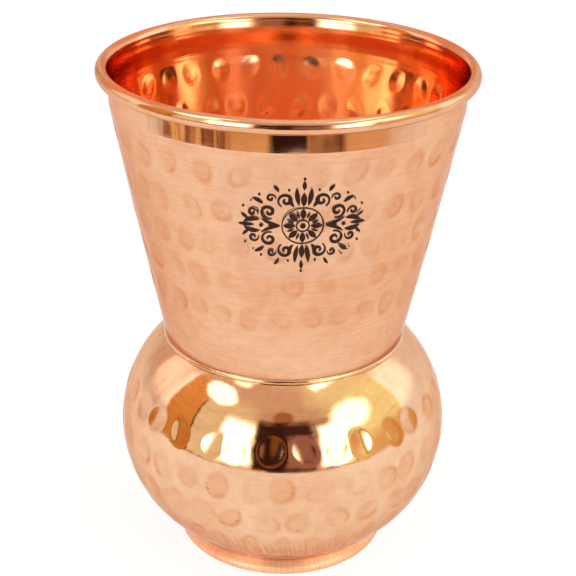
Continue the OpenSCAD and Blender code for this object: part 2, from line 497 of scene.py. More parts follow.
def sheet_ripple(a, s, seed, size):
    """Slow unevenness of hand-worked sheet: sine waves of a few whole turns round it,
    each leaning a little along it and weaker by its turns to the power 0.6."""
    rng = np.random.default_rng(seed)
    out = np.zeros(a.shape)
    for turns in (2, 3, 5, 7, 11, 16):
        phase, along = rng.uniform(0, 2 * math.pi), rng.uniform(-0.12, 0.12) / MM
        out += np.sin(turns * a + along * s + phase) / turns**0.6
    return size * out / 3


# ---------------- shader maths


def arithmetic(operation, swapped=False):
    """A method of Wire that adds one Math node over the wire and a number or wire."""

    def method(self, other):
        return self.math(operation, *((other, self) if swapped else (self, other)))

    return method


class Wire:
    """A shader socket whose + - * / and ** operators add Math nodes to its tree."""

    def __init__(self, tree, socket):
        self.tree, self.socket = tree, socket

    def node(self, kind, inputs=(), out=0, **settings):
        """Adds a node of a type: settings first, then values or links of its sockets."""
        made = self.tree.nodes.new(kind)
        for key, value in settings.items():
            setattr(made, key, value)
        for key, value in dict(inputs).items():
            if isinstance(value, Wire):
                self.tree.links.new(value.socket, made.inputs[key])
            else:
                made.inputs[key].default_value = value
        return Wire(self.tree, made.outputs[out])

    def math(self, operation, *values):
        """Adds one Math node over wires or plain numbers."""
        return self.node("ShaderNodeMath", enumerate(values), operation=operation)

    def split(self):
        """The x, y and z of a vector, each as a wire."""
        made = self.node("ShaderNodeSeparateXYZ", {0: self}).socket.node
        return [Wire(self.tree, socket) for socket in made.outputs]

    def absolute(self):
        return self.math("ABSOLUTE", self)

    def at_most(self, limit):
        return self.math("MINIMUM", self, limit)

    def at_least(self, limit):
        return self.math("MAXIMUM", self, limit)

    __add__, __radd__ = arithmetic("ADD"), arithmetic("ADD", True)
    __sub__, __rsub__ = arithmetic("SUBTRACT"), arithmetic("SUBTRACT", True)
    __mul__, __rmul__ = arithmetic("MULTIPLY"), arithmetic("MULTIPLY", True)
    __truediv__, __pow__ = arithmetic("DIVIDE"), arithmetic("POWER")

    def step(self, low, high):
        """0 below low, 1 above high, smooth between them."""
        return self.node(
            "ShaderNodeMapRange", {0: self, 1: low, 2: high}, interpolation_type="SMOOTHSTEP")

    def between(self, low, high, soft):
        """1 between low and high with soft edges, 0 outside."""
        return self.step(low - soft, low + soft) * (1 - self.step(high - soft, high + soft))


def new_material(name, coordinates="Object"):
    """A material with no nodes but its texture coordinates; returns both."""
    material = bpy.data.materials.new(name)
    material.use_nodes = True
    material.node_tree.nodes.clear()
    start = Wire(material.node_tree, None)
    return material, start.node("ShaderNodeTexCoord", out=coordinates)


def surfaced(material, start, inputs):
    """Ends a material with a Principled shader that has these inputs; returns it."""
    shader = start.node("ShaderNodeBsdfPrincipled", inputs)
    output = start.tree.nodes.new("ShaderNodeOutputMaterial")
    start.tree.links.new(shader.socket, output.inputs["Surface"])
    return material


def places(coords):
    """Height, angle round the axis from the front, and distance from the axis."""
    x, y, z = coords.split()
    angle = x.math("ARCTAN2", x, 0 - y)
    radius = (x * x + y * y) ** 0.5
    return z, angle, radius


def noise(place, scale, detail=2.0, rough=0.5):
    """Noise from 0 to 1 over a vector wire."""
    return place.node("ShaderNodeTexNoise",
                      {"Vector": place, "Scale": scale, "Detail": detail, "Roughness": rough})


def vector(x, y, z):
    """A vector wire from three wires or numbers, the first of them a wire."""
    return x.node("ShaderNodeCombineXYZ", {0: x, 1: y, 2: z})


def mixed(factor, first, second):
    """Colour mix; first and second are colours or wires. The node keeps its two colours
    in inputs 6 and 7 and its mixed colour in output 2."""
    four = [c if isinstance(c, Wire) else (*c, 1.0) for c in (first, second)]
    return factor.node("ShaderNodeMix", {0: factor, 6: four[0], 7: four[1]}, out=2, data_type="RGBA")


def painted(colour, *layers):
    """A colour with layers of (factor, colour) mixed over it one after another."""
    for factor, over in layers:
        colour = mixed(factor, colour, over)
    return colour


def brighter(colour, k):
    """A colour wire times a wire."""
    return colour.node("ShaderNodeVectorMath", {0: colour, 1: vector(k, k, k)}, operation="MULTIPLY")


def scaled(colour, *parts):
    """A plain colour times one number, or times three, kept at 1 or below."""
    parts = parts if len(parts) == 3 else parts * 3
    return tuple(min(c * k, 1.0) for c, k in zip(colour, parts))


# ---------------- materials


def copper_material(name, tint, tarnish, seams, rough=0.07, line_strength=0.35,
                    wrinkles=None, floor_rings=False, streaks=1.0, mirror_above=None):
    """Polished copper. Turning and polishing lines run round the axis, cloudy handling marks and long
    streaks change the tint and the gloss, the hammer marks keep a redder, darker edge, strongest on one
    side of each mark, which is partly tarnish and partly painted shade and painted reflection, and
    small dark specks gather near the seams, which have a thin dark rim. On inner faces the copper is
    painted a deeper red, the painted colour of light bouncing inside, with a paler ring round each
    mark, partly polish and partly painted highlight. On the foot ring the same darkening falls in the
    troughs of its wrinkles: painted shade. seams lists (height, reach of the specks). wrinkles is (low,
    high, strength, stain, fine): leaning folds that fade out between two heights, with about fine of
    them in a radian. The upright band above the height mirror_above is smoother outside than the rest."""
    material, coords = new_material(name)
    z, angle, radius = places(coords)
    along = radius if floor_rings else z
    wear_and_painted_light = z.node("ShaderNodeAttribute", out="Fac", attribute_name="wear_and_painted_light")
    inside = z.node("ShaderNodeAttribute", out="Fac", attribute_name="inside")
    # lines, clouds and specks
    lines = noise(vector(angle * 1.6, along * (1.0 / MM), 0.0), 2.4, detail=4, rough=0.65)
    broad_lines = noise(vector(angle * 0.5, along * (0.22 / MM), 0.0), 1.6, detail=3)
    streak = noise(vector(angle * 3.0, along * (0.9 / MM), 0.0), 1.5, detail=5, rough=0.75)
    cloud = noise(coords, 42, detail=4, rough=0.6)
    patch = noise(coords, 130, detail=5, rough=0.65)
    specks_at = coords.node("ShaderNodeTexVoronoi", {"Vector": coords, "Scale": 520.0,
                                                      "Randomness": 1.0})
    speck_size = noise(coords, 300, detail=2)
    near, rim = z * 0, z * 0
    for seam_z, reach in seams:
        away = (z - seam_z).absolute()
        near = near + (1 - away.step(0.0, reach))
        rim = rim + (1 - away.step(0.3 * MM, 1.0 * MM))
    near = near.at_most(1.0)
    specks = (1 - specks_at.step(0.10, 0.20)) * speck_size.step(0.60, 0.68) * (near * 0.9 + 0.05)
    smut = near * noise(coords, 160, detail=4, rough=0.7).step(0.45, 0.75)
    # tint, with painted shade and painted reflection at the edges of the hammer marks, a painted deeper
    # red on inner faces and a painted highlight round the marks there
    # darker, redder copper: tarnish for the stains, dots and seam rims, and partly painted shade and
    # painted reflection at the edges of the hammer marks
    worn_and_painted_shade = scaled(tint, 0.88, 0.62, 0.46)
    uneven = cloud.step(0.34, 0.66) * 0.62 + streak.step(0.36, 0.66) * 0.42 * streaks
    mottle = noise(coords, 340, detail=4, rough=0.65)
    uneven = uneven + (mottle.step(0.42, 0.62) - 0.4) * 0.2
    uneven = (uneven + smut * 0.3).at_least(0.0)
    toned = mixed(uneven, scaled(tint, 1.07), scaled(tint, 0.94, 0.79, 0.70))
    # edge of each hammer mark on outer faces, strongest on one side: partly wear, partly painted shade
    # and painted reflection
    edge = wear_and_painted_light * (0.42 + patch.step(0.40, 0.60) * 1.1) * (1 - inside)
    dots = wear_and_painted_light.step(0.1, 0.5) * noise(coords, 850, detail=3, rough=0.7).step(0.60, 0.68)
    toned = painted(
        toned,
        # inner faces: a deeper, redder copper, the painted colour of light bouncing round inside
        (inside * (0.75 + streak.step(0.4, 0.6) * 0.25), scaled(tint, 1.08, 0.83, 0.70)),
        (edge.at_most(1.0), worn_and_painted_shade),
        # a paler ring round each mark on inner faces: partly polish, partly painted highlight
        (wear_and_painted_light * inside * 0.7, scaled(tint, 1.2, 1.3, 1.25)),
        (dots * patch.step(0.4, 0.6) * 0.6, scaled(worn_and_painted_shade, 0.5)),
    )
    if wrinkles:
        low, high, strength, stain, fine = wrinkles
        lean = angle * fine + z * (0.25 / MM)
        folds = noise(vector(lean, z * (0.06 / MM), 0.0), 1.0, detail=1, rough=0.5)
        gathered = 1 - z.step(low, high)
        stained = gathered * (0.25 + folds.step(0.40, 0.60) * 0.75) * stain
        toned = mixed(stained, toned, worn_and_painted_shade)
    toned = mixed(rim * (0.35 + patch.step(0.35, 0.6) * 0.4), toned, scaled(worn_and_painted_shade, 0.55))
    colour = mixed(specks.at_most(0.9), toned, tarnish)
    # gloss and relief
    gloss = rough + (lines - 0.5) * 0.07 + cloud.step(0.45, 0.8) * 0.03 + edge * 0.05
    gloss = gloss + specks * 0.3 + smut * 0.06
    height = lines * line_strength + broad_lines * 0.6 + patch * 0.4
    if wrinkles:
        height = height + folds * gathered * strength
        gloss = gloss + folds * gathered * 0.08
    if mirror_above:
        mirror = z.between(mirror_above - 0.4 * MM, mirror_above + 5.2 * MM, 0.5 * MM)
        mirror = mirror * (1 - inside)
        height = height * (1 - mirror * 0.85)
        gloss = gloss * (1 - mirror * 0.65)
    bump = z.node("ShaderNodeBump", {"Height": height, "Distance": 0.012 * MM, "Strength": 1.0})
    return surfaced(material, coords, {
        "Base Color": colour, "Metallic": 1.0, "Roughness": gloss, "Normal": bump,
        "Specular Tint": (0.80, 0.62, 0.54, 1.0)})


def filler_material(name, tint, tarnish):
    """Brazing alloy: brighter and yellower than the copper in places, blotched with dark
    flux residue in others, with a slightly lumpy surface."""
    material, coords = new_material(name)
    z, angle, radius = places(coords)
    blotch = noise(vector(angle * 9, z * (0.4 / MM), radius * (0.4 / MM)), 1.8, detail=5, rough=0.65)
    grain = noise(coords, 900, detail=3)
    residue = blotch.step(0.56, 0.70)
    bright = mixed(grain, scaled(tint, 0.9), scaled(tint, 1.15))
    colour = mixed(residue * 0.6, bright, tarnish)
    bump = z.node("ShaderNodeBump", {"Height": blotch + grain * 0.4, "Distance": 0.05 * MM})
    return surfaced(material, coords, {
        "Base Color": colour, "Metallic": 1.0 - residue * 0.5, "Roughness": 0.16 + residue * 0.3,
        "Normal": bump})


def film_material(name, tint):
    """Clear glossy film: nearly invisible, with faint cloudy glue under it."""
    material, coords = new_material(name)
    glue = noise(coords, 260, detail=4, rough=0.6)
    return surfaced(material, coords, {
        "Base Color": mixed(glue, scaled(tint, 0.96), tint), "Roughness": 0.05 + glue * 0.05,
        "Alpha": 0.05 + glue.step(0.35, 0.9) * 0.03})


def ink_material(name, tint):
    """Dark brown screen ink with a slightly uneven coat and a soft gloss."""
    material, coords = new_material(name)
    coat = noise(coords, 700, detail=4, rough=0.7)
    lighter = (tint[0] * 2.4 + 0.01, tint[1] * 2.0 + 0.004, tint[2] * 1.8 + 0.003)
    bump = coords.node("ShaderNodeBump", {"Height": coat, "Distance": 0.006 * MM})
    return surfaced(material, coords, {
        "Base Color": mixed(coat.step(0.5, 0.85) * 0.5, tint, lighter),
        "Roughness": 0.55 + coat * 0.2, "Specular IOR Level": 0.12, "Normal": bump})


# ---------------- pieces


def sheet_marks_cup(sheet):
    """Hammer marks of the cup: five rows below the upright band."""
    rows = [(108.3, -3.2), (98.9, 2.4), (90.0, -3.6), (81.6, 2.2), (72.6, -1.6)]
    return mark_rows([(z * MM, turn) for z, turn in rows], sheet.dents,
                     half_w=2.45 * MM, half_h=3.0 * MM, depth=sheet.cup_depth, seed=11)


def sheet_marks_bulb(sheet):
    """Hammer marks of the bulb: five rows from under the shoulder down to the foot, given by their
    height angle from the belly. The marks of the lower two rows are smaller and shallower, and their
    worn side, which also carries the painted shade, is turned to the left."""
    rows = [(21.4, -4.0), (3.6, 1.6), (-13.0, -4.6), (-28.0, 0.8), (-42.0, -3.4)]
    marks = mark_rows([(math.radians(e) * BELLY_ARC, turn) for e, turn in rows], sheet.dents,
                      half_w=3.15 * MM, half_h=3.3 * MM, depth=sheet.bulb_depth, seed=23)
    low = marks["z"] < math.radians(-24) * BELLY_ARC
    for key, part in (("w", 0.68), ("h", 0.84), ("d", 0.6)):
        marks[key] = np.where(low, marks[key] * part, marks[key])
    marks["worn_and_shade_at"] = np.where(low, marks["worn_and_shade_at"] + 4.1, marks["worn_and_shade_at"])
    return marks


def build_cup(sheet, profile):
    """The cup sheet: its outline carried round the axis, both faces moved in together by
    the hammer marks, and the mouth standing a little lower at the back."""
    marks = sheet_marks_cup(sheet)
    slope = (profile.band - profile.neck) / np.hypot(*(profile.band - profile.neck))

    def hammered(a, r, z):
        depth, wear_and_painted_light = mark_depth(marks, a, z, r)
        below = np.clip((BAND_Z - z) / (3 * MM), 0, 1)
        above = np.clip((z - NECK_Z) / (8 * MM), 0, 1)
        calm = below * above
        depth = depth * below + sheet_ripple(a, z, 5, 0.05 * MM) * calm + 0.03 * MM * calm
        lift = np.clip((z - NECK_Z) / (TOTAL_H - NECK_Z), 0, 1) ** 2
        wall = np.where(z < BAND_Z, profile.wall_r(z), profile.band[0])
        inside = (r < wall - profile.t / 2) & (z < profile.bead_c[1] + 0.1 * MM)
        depth = np.where(inside, depth * sheet.mark_inside, depth)
        z2 = z + depth * slope[0] - sheet.mouth_droop * lift * (1 - np.cos(a)) / 2
        return r - depth * slope[1], z2, wear_and_painted_light * below, inside

    return ring_piece("cup_sheet", profile.cup_outline(), sheet.columns, hammered)


def build_bulb(sheet, profile):
    """The bulb sheet, hammered from under its shoulder to the foot."""
    marks = sheet_marks_bulb(sheet)
    c = profile.belly_c

    def hammered(a, r, z):
        e = np.arctan2(z - c[1], r - c[0])
        s = e * BELLY_ARC
        on_belly = np.clip((BELLY_ARC * math.sin(math.radians(50)) + BELLY_Z - z) / (2 * MM), 0, 1)
        off_foot = np.clip((z - 7 * MM) / (4 * MM), 0, 1)
        depth, wear_and_painted_light = mark_depth(marks, a, s, r)
        depth = (depth + (sheet_ripple(a, s, 9, 0.03 * MM) + 0.02 * MM) * off_foot) * on_belly
        inside = np.hypot(z - c[1], r - c[0]) < BELLY_ARC - profile.t / 2
        return r - depth * np.cos(e), z - depth * np.sin(e), wear_and_painted_light * on_belly, inside

    return ring_piece("bulb_sheet", profile.bulb_outline(), sheet.columns, hammered)


def build_foot(profile):
    """The foot ring, its flank and toe gathered into fine upright wrinkles."""
    waves_at = random_waves(seed=31, low=110, high=210, count=9)

    def wrinkled(a, r, z):
        waves = waves_at(a)
        outer = np.clip((r - CREASE_R) / (1.2 * MM), 0, 1) * np.clip((z - 0.25 * MM) / (0.8 * MM), 0, 1)
        # the third value, high in the troughs of the wrinkles, darkens them in the copper shader:
        # painted shade in the creases
        return r - 0.03 * MM * (0.5 + waves) * outer, z, waves * outer, 0 * r

    return ring_piece("foot_ring_sheet", profile.foot_outline(), 720, wrinkled)


def build_base(profile):
    """The base disc with a few shallow turned rings in its floor."""
    outline = profile.base_outline()
    r, z = outline[:, 0].copy(), outline[:, 1].copy()
    flat = r < BASE_R - 2.5 * MM
    rings = 0.05 * MM * np.sin(r / (1.6 * MM)) * np.clip(r / (3 * MM), 0, 1)
    z = z + np.where(flat, rings - 0.06 * MM, 0)
    return disc_piece("base_floor", r, z, 192)


def seam_piece(name, outline, columns, seed, lumps):
    """A filler bead: outline carried round the axis, shrunk towards its middle by a share
    between 0 and lumps, from place to place."""
    middle = outline.mean(axis=0)
    waves_at = random_waves(seed, low=5, high=80, count=14)

    def lumpy(a, r, z):
        waves = waves_at(a)
        shrink = 1 - lumps * (0.5 + 0.5 * waves) * (np.abs(r - middle[0]) + np.abs(z - middle[1]) > 0)
        r2, z2 = middle[0] + (r - middle[0]) * shrink, middle[1] + (z - middle[1]) * shrink
        return r2, z2, waves, 0 * r

    return ring_piece(name, outline, columns, lumpy, sharp=math.radians(60))


def build_seams(profile):
    """The three brazed seams: neck crease, foot crease and base seam."""
    t = profile.t
    centre = profile.neck - t / 2
    on_wall = circles_meet(centre, NECK_SEAM_R, profile.wall_c, profile.wall_R, -1)
    on_bulb = circles_meet(centre, NECK_SEAM_R, profile.belly_c, BELLY_ARC, 1)
    inner = np.array([profile.wall_r(NECK_Z, t), NECK_Z])
    belly = [bearing(p, profile.belly_c) for p in (on_bulb, profile.fold)]
    neck = joined(
        arc(centre, NECK_SEAM_R, bearing(on_wall, centre), bearing(on_bulb, centre), 14),
        arc(profile.belly_c, BELLY_ARC, *belly, 5),
        line(profile.fold, inner, 2), line(inner, profile.neck, 4), line(profile.neck, on_wall, 3))
    crease = np.array([CREASE_R, CREASE_Z])
    foot = joined(
        arc(crease + [0.11 * MM, 0], FOOT_SEAM_R, 36, -44, 12),
        line(crease + [0.4 * MM, -0.33 * MM], crease, 3),
        line(crease, crease + [0.42 * MM, 0.24 * MM], 3))
    under = np.array([BASE_R, SPIGOT_Z])
    reach = np.array([BASE_SEAM_R, 0])
    base = joined(arc(under, BASE_SEAM_R, 0, -180, 12), line(under - reach, under + reach, 5))
    return [
        (seam_piece("neck_seam", neck[::-1], columns=360, seed=41, lumps=0.06), "neck_braze"),
        (seam_piece("foot_seam", foot[::-1], columns=300, seed=43, lumps=0.10), "foot_braze"),
        (seam_piece("base_seam", base[::-1], columns=300, seed=47, lumps=0.06), "base_braze"),
    ]


class LabelPlane:
    """The label's own plane wrapped on the cup wall: u runs round the wall towards +X and
    v is height, both from the label's middle."""

    def __init__(self, profile):
        self.profile = profile
        self.z = (FILM_LOW[2] + FILM_HIGH[2]) / 2
        self.height = FILM_HIGH[2] - FILM_LOW[2]
        self.r = profile.wall_r(self.z)

    def points(self, u, v, lift):
        """x, y, z of label points lifted off the wall."""
        z = self.z + v
        r = self.profile.wall_r(z) + lift
        return turned(r, z, LABEL_TURN + u / self.r)


def build_film(plane):
    """The clear film: a rounded rectangle. Its outline is |x|^p + |y|^p = 1 stretched to
    the label's size, with a high power p, filled by rings from the middle. The upper face
    runs out to the edge, and the lower face, a gap above the wall, runs back."""
    columns, rings, gap = 160, 14, 0.02 * MM
    tau = np.arange(columns) * (2 * math.pi / columns)
    power = 14
    edge = (np.abs(np.cos(tau)) ** power + np.abs(np.sin(tau)) ** power) ** (-1 / power)
    rho = np.linspace(0, 1, rings + 1)[1:]
    rho = np.concatenate([rho, rho[::-1]])
    lift = np.concatenate([np.full(rings, FILM_T), np.full(rings, gap)])
    k, e = np.meshgrid(edge, rho)[0], np.meshgrid(edge, rho)[1]
    u = e * k * np.cos(tau) * LABEL_W / 2
    v = e * k * np.sin(tau) * plane.height / 2
    points = plane.points(u, v, lift[:, None])
    middle = [plane.points(np.zeros(1), np.zeros(1), h)[0] for h in (FILM_T, gap)]
    points = np.concatenate([points.reshape(-1, 3), middle])
    rows = 2 * rings
    top = fan(rows * columns, 0, columns, False)
    bottom = fan(rows * columns + 1, (rows - 1) * columns, columns, True)
    quads = grid_faces(rows, columns, False, True)[:, ::-1]
    return mesh_piece("label_film_clear", points, quads, np.concatenate([top, bottom]))


def stroke(path, width, plane):
    """One inked stroke: a flat ribbon of changing width along a path on the label plane.
    path is (n, 2) in metres; width holds the half width at each point."""
    low, high = FILM_T + 0.005 * MM, FILM_T + 0.03 * MM
    along = np.gradient(path, axis=0)
    along /= np.linalg.norm(along, axis=1)[:, None] + 1e-12
    side = np.stack([-along[:, 1], along[:, 0]], -1) * np.maximum(width, 0.004 * MM)[:, None]
    left, right = path + side, path - side
    corners = [(left, low), (left, high), (right, high), (right, low)]
    points = np.stack([plane.points(p[:, 0], p[:, 1], h) for p, h in corners], 1)
    faces = grid_faces(len(path), 4, False, True)
    n = 4 * (len(path) - 1)
    caps = np.array([[0, 1, 2, 3], [n + 3, n + 2, n + 1, n]])
    return points.reshape(-1, 3), np.concatenate([faces, caps])


def leaf(start, angle, length, fat, bend=0.0, count=14):
    """A leaf: a curved path whose half width is fat * sin(pi s)^0.8, s from 0 to 1."""
    s = np.linspace(0, 1, count)
    a = np.radians(angle) + bend * (s - 0.2)
    step = length / (count - 1)
    x = start[0] + np.concatenate([[0], np.cumsum(np.cos(a[:-1]) * step)])
    y = start[1] + np.concatenate([[0], np.cumsum(np.sin(a[:-1]) * step)])
    return np.stack([x, y], -1), fat * np.sin(math.pi * np.clip(s, 0.01, 0.99)) ** 0.8


def scroll(centre, radius, start, turns, hand, fat, count=46):
    """A volute: radius falls evenly from its mouth to its eye while the angle turns."""
    s = np.linspace(0, 1, count)
    r = radius * (1 - 0.86 * s)
    a = np.radians(start) + hand * 2 * math.pi * turns * s
    path = np.stack([centre[0] + r * np.cos(a), centre[1] + r * np.sin(a)], -1)
    return path, fat * (0.35 + 0.9 * np.sin(math.pi * np.clip(s * 0.9 + 0.05, 0, 1)))


def dot(centre, radius, count=9):
    """A round dot: a short path whose half width follows a circle."""
    s = np.linspace(-1, 1, count)
    path = np.stack([centre[0] + radius * s, np.full(count, centre[1])], -1)
    return path, radius * np.sqrt(np.clip(1 - s * s, 0, 1))


def ring(centre, radius, fat, count=48):
    """A thin closed ring as a stroke whose ends overlap by one step."""
    a = np.linspace(0, 2 * math.pi * (1 + 1 / count), count + 2)
    path = np.stack([centre[0] + radius * np.cos(a), centre[1] + radius * np.sin(a)], -1)
    return path, np.full(len(a), fat)


def ornament():
    """A lotus rosette between two leafy scrolls, above and below it a fan of leaves.
    Lengths are in millimetres; the right and upper quarter is drawn, then mirrored."""
    strokes = [ring((0, 0), 1.35, 0.14), dot((0, 0), 0.62), ring((0, 0), 4.35, 0.13, 72)]
    strokes += [leaf((1.6 * math.cos(math.radians(q)), 1.6 * math.sin(math.radians(q))), q, 2.5, 0.62)
                for q in range(0, 360, 45)]
    strokes += [leaf((1.9 * math.cos(math.radians(q)), 1.9 * math.sin(math.radians(q))), q, 1.7, 0.24)
                for q in np.arange(22.5, 360, 45)]
    quarter = [
        leaf((5.0, 0.25), 12, 4.2, 0.34, 0.7), leaf((9.0, 1.3), 2, 3.6, 0.52, -0.9),
        scroll((7.1, 3.3), 1.75, 250, 1.35, 1, 0.27), scroll((10.4, 3.0), 1.15, 200, 1.2, -1, 0.22),
        scroll((3.6, 6.1), 1.7, 300, 1.35, 1, 0.27), scroll((6.6, 6.6), 1.0, 190, 1.2, -1, 0.2),
        leaf((0.9, 4.9), 78, 4.3, 0.5, 0.3), leaf((1.9, 4.6), 55, 2.6, 0.4, 0.5),
        leaf((8.2, 5.2), 40, 2.6, 0.42, -0.6), leaf((5.0, 8.1), 62, 1.9, 0.36, -0.5),
        leaf((11.4, 1.5), 35, 1.9, 0.34, 0.4), dot((12.3, 4.4), 0.27), dot((8.9, 7.4), 0.27),
        dot((3.0, 8.6), 0.27), dot((10.6, 5.9), 0.2),
    ]
    axis = [leaf((4.7, 0), 0, 2.6, 0.5), leaf((10.2, 0), 0, 3.4, 0.42), dot((8.7, 0), 0.45)]
    upright = [leaf((0, 4.7), 90, 3.2, 0.62), leaf((0, 8.6), 90, 2.1, 0.42), dot((0, 11.2), 0.3)]
    for path, fat in quarter:
        for sx in (1, -1):
            strokes += [(path * [sx, sy], fat) for sy in (1, -1)]
    for path, fat in axis:
        strokes += [(path * [sx, 1], fat) for sx in (1, -1)]
    for path, fat in upright:
        strokes += [(path * [1, sy], fat) for sy in (1, -1)]
    return strokes


def build_print(plane):
    """The printed ornament: all its strokes in one mesh, a little below the middle."""
    points, faces, count = [], [], 0
    for path, fat in ornament():
        p, f = stroke(path * MM + [0, -0.4 * MM], fat * MM, plane)
        points.append(p)
        faces.append(f + count)
        count += len(p)
    return mesh_piece("label_print", np.concatenate(points), np.concatenate(faces), sharp=None)


# ---------------- operators


def settings():
    """The three groups of settings: sheet, colours and studio."""
    scene = bpy.context.scene
    return scene.tumbler_sheet, scene.tumbler_colours, scene.tumbler_studio


class TUMBLER_OT_cup(bpy.types.Operator):
    """Makes the hammered cup with its rolled rim"""

    bl_idname = "tumbler.cup"
    bl_label = "Cup"

    def execute(self, context):
        sheet, colours, _ = settings()
        material = copper_material("polished_copper_cup", colours.copper, colours.tarnish,
                                   [(NECK_Z, 3 * MM)], rough=0.11, line_strength=0.8,
                                   mirror_above=BAND_Z)
        finish_piece(build_cup(sheet, Profile(sheet)), material, "copper_cup", "cup")
        return {"FINISHED"}


class TUMBLER_OT_bulb(bpy.types.Operator):
    """Makes the hammered bulb with its collar and turned-down end"""

    bl_idname = "tumbler.bulb"
    bl_label = "Bulb"

    def execute(self, context):
        sheet, colours, _ = settings()
        material = copper_material("polished_copper_bulb", colours.bulb, colours.tarnish,
                                   [(NECK_Z, 2.5 * MM), (CREASE_Z, 3 * MM)], rough=0.06,
                                   line_strength=0.45, streaks=0.5,
                                   wrinkles=(13 * MM, 20 * MM, 12.0, 1.0, 50))
        finish_piece(build_bulb(sheet, Profile(sheet)), material, "copper_bulb", "bulb")
        return {"FINISHED"}


class TUMBLER_OT_foot(bpy.types.Operator):
    """Makes the foot ring and the base disc"""

    bl_idname = "tumbler.foot"
    bl_label = "Foot and base"

    def execute(self, context):
        sheet, colours, _ = settings()
        profile = Profile(sheet)
        # the foot tint is a paler copy of the copper, painted light on the foot ring and the base
        ring_copper = copper_material("foot_copper", colours.foot, colours.tarnish,
                                      [(CREASE_Z, 1.5 * MM)], rough=0.46,
                                      wrinkles=(4 * MM, 5 * MM, 3.0, 0.3, 62))
        finish_piece(build_foot(profile), ring_copper, "copper_foot", "foot_ring")
        disc_copper = copper_material("base_copper", colours.foot, colours.tarnish,
                                      [(SPIGOT_Z, 1 * MM)], rough=0.2, line_strength=1.4,
                                      floor_rings=True)
        finish_piece(build_base(profile), disc_copper, "copper_base", "base_disc")
        return {"FINISHED"}


class TUMBLER_OT_seams(bpy.types.Operator):
    """Makes the brazed seams at the neck, the foot crease and the base"""

    bl_idname = "tumbler.seams"
    bl_label = "Brazed seams"

    def execute(self, context):
        sheet, colours, _ = settings()
        material = filler_material("brazing_alloy", colours.filler, colours.tarnish)
        for piece, node in build_seams(Profile(sheet)):
            finish_piece(piece, material, "filler", node)
        return {"FINISHED"}


class TUMBLER_OT_label(bpy.types.Operator):
    """Makes the clear label film and the ornament printed on it"""

    bl_idname = "tumbler.label"
    bl_label = "Label"

    def execute(self, context):
        sheet, colours, _ = settings()
        plane = LabelPlane(Profile(sheet))
        film = film_material("clear_film", colours.film)
        finish_piece(build_film(plane), film, "label_film", "label_film")
        ink = ink_material("printed_ink", colours.ink)
        finish_piece(build_print(plane), ink, "label_ink")
        return {"FINISHED"}


# ---------------- studio

# room dome, white table and floor, in metres, and the sideways shift of the lens
ROOM_R = 0.75
ROOM_UP = 0.06
TABLE_FAR = 2.5
FLOOR_NEAR = 0.001
FLOOR_FAR = 3.0
LENS_SHIFT = 0.0058


def emission_material(name, colour_of):
    """A lit card: colour_of gives an emission colour wire from the card's own UV map."""
    material, uv = new_material(name, "UV")
    across, up, _ = uv.split()
    return surfaced(material, uv, {
        "Base Color": (0.0, 0.0, 0.0, 1.0), "Roughness": 1.0, "Specular IOR Level": 0.0,
        "Emission Color": colour_of(across, up), "Emission Strength": 1.0})


def spot(a, e, middle, size, soft):
    """1 inside an ellipse and 0 outside it, from q = (a - a0)^2 / A + (e - e0)^2 / E,
    smooth where q lies between the two numbers of soft."""
    q = (a - middle[0]) * (a - middle[0]) / size[0] + (e - middle[1]) * (e - middle[1]) / size[1]
    return 1 - q.step(*soft)


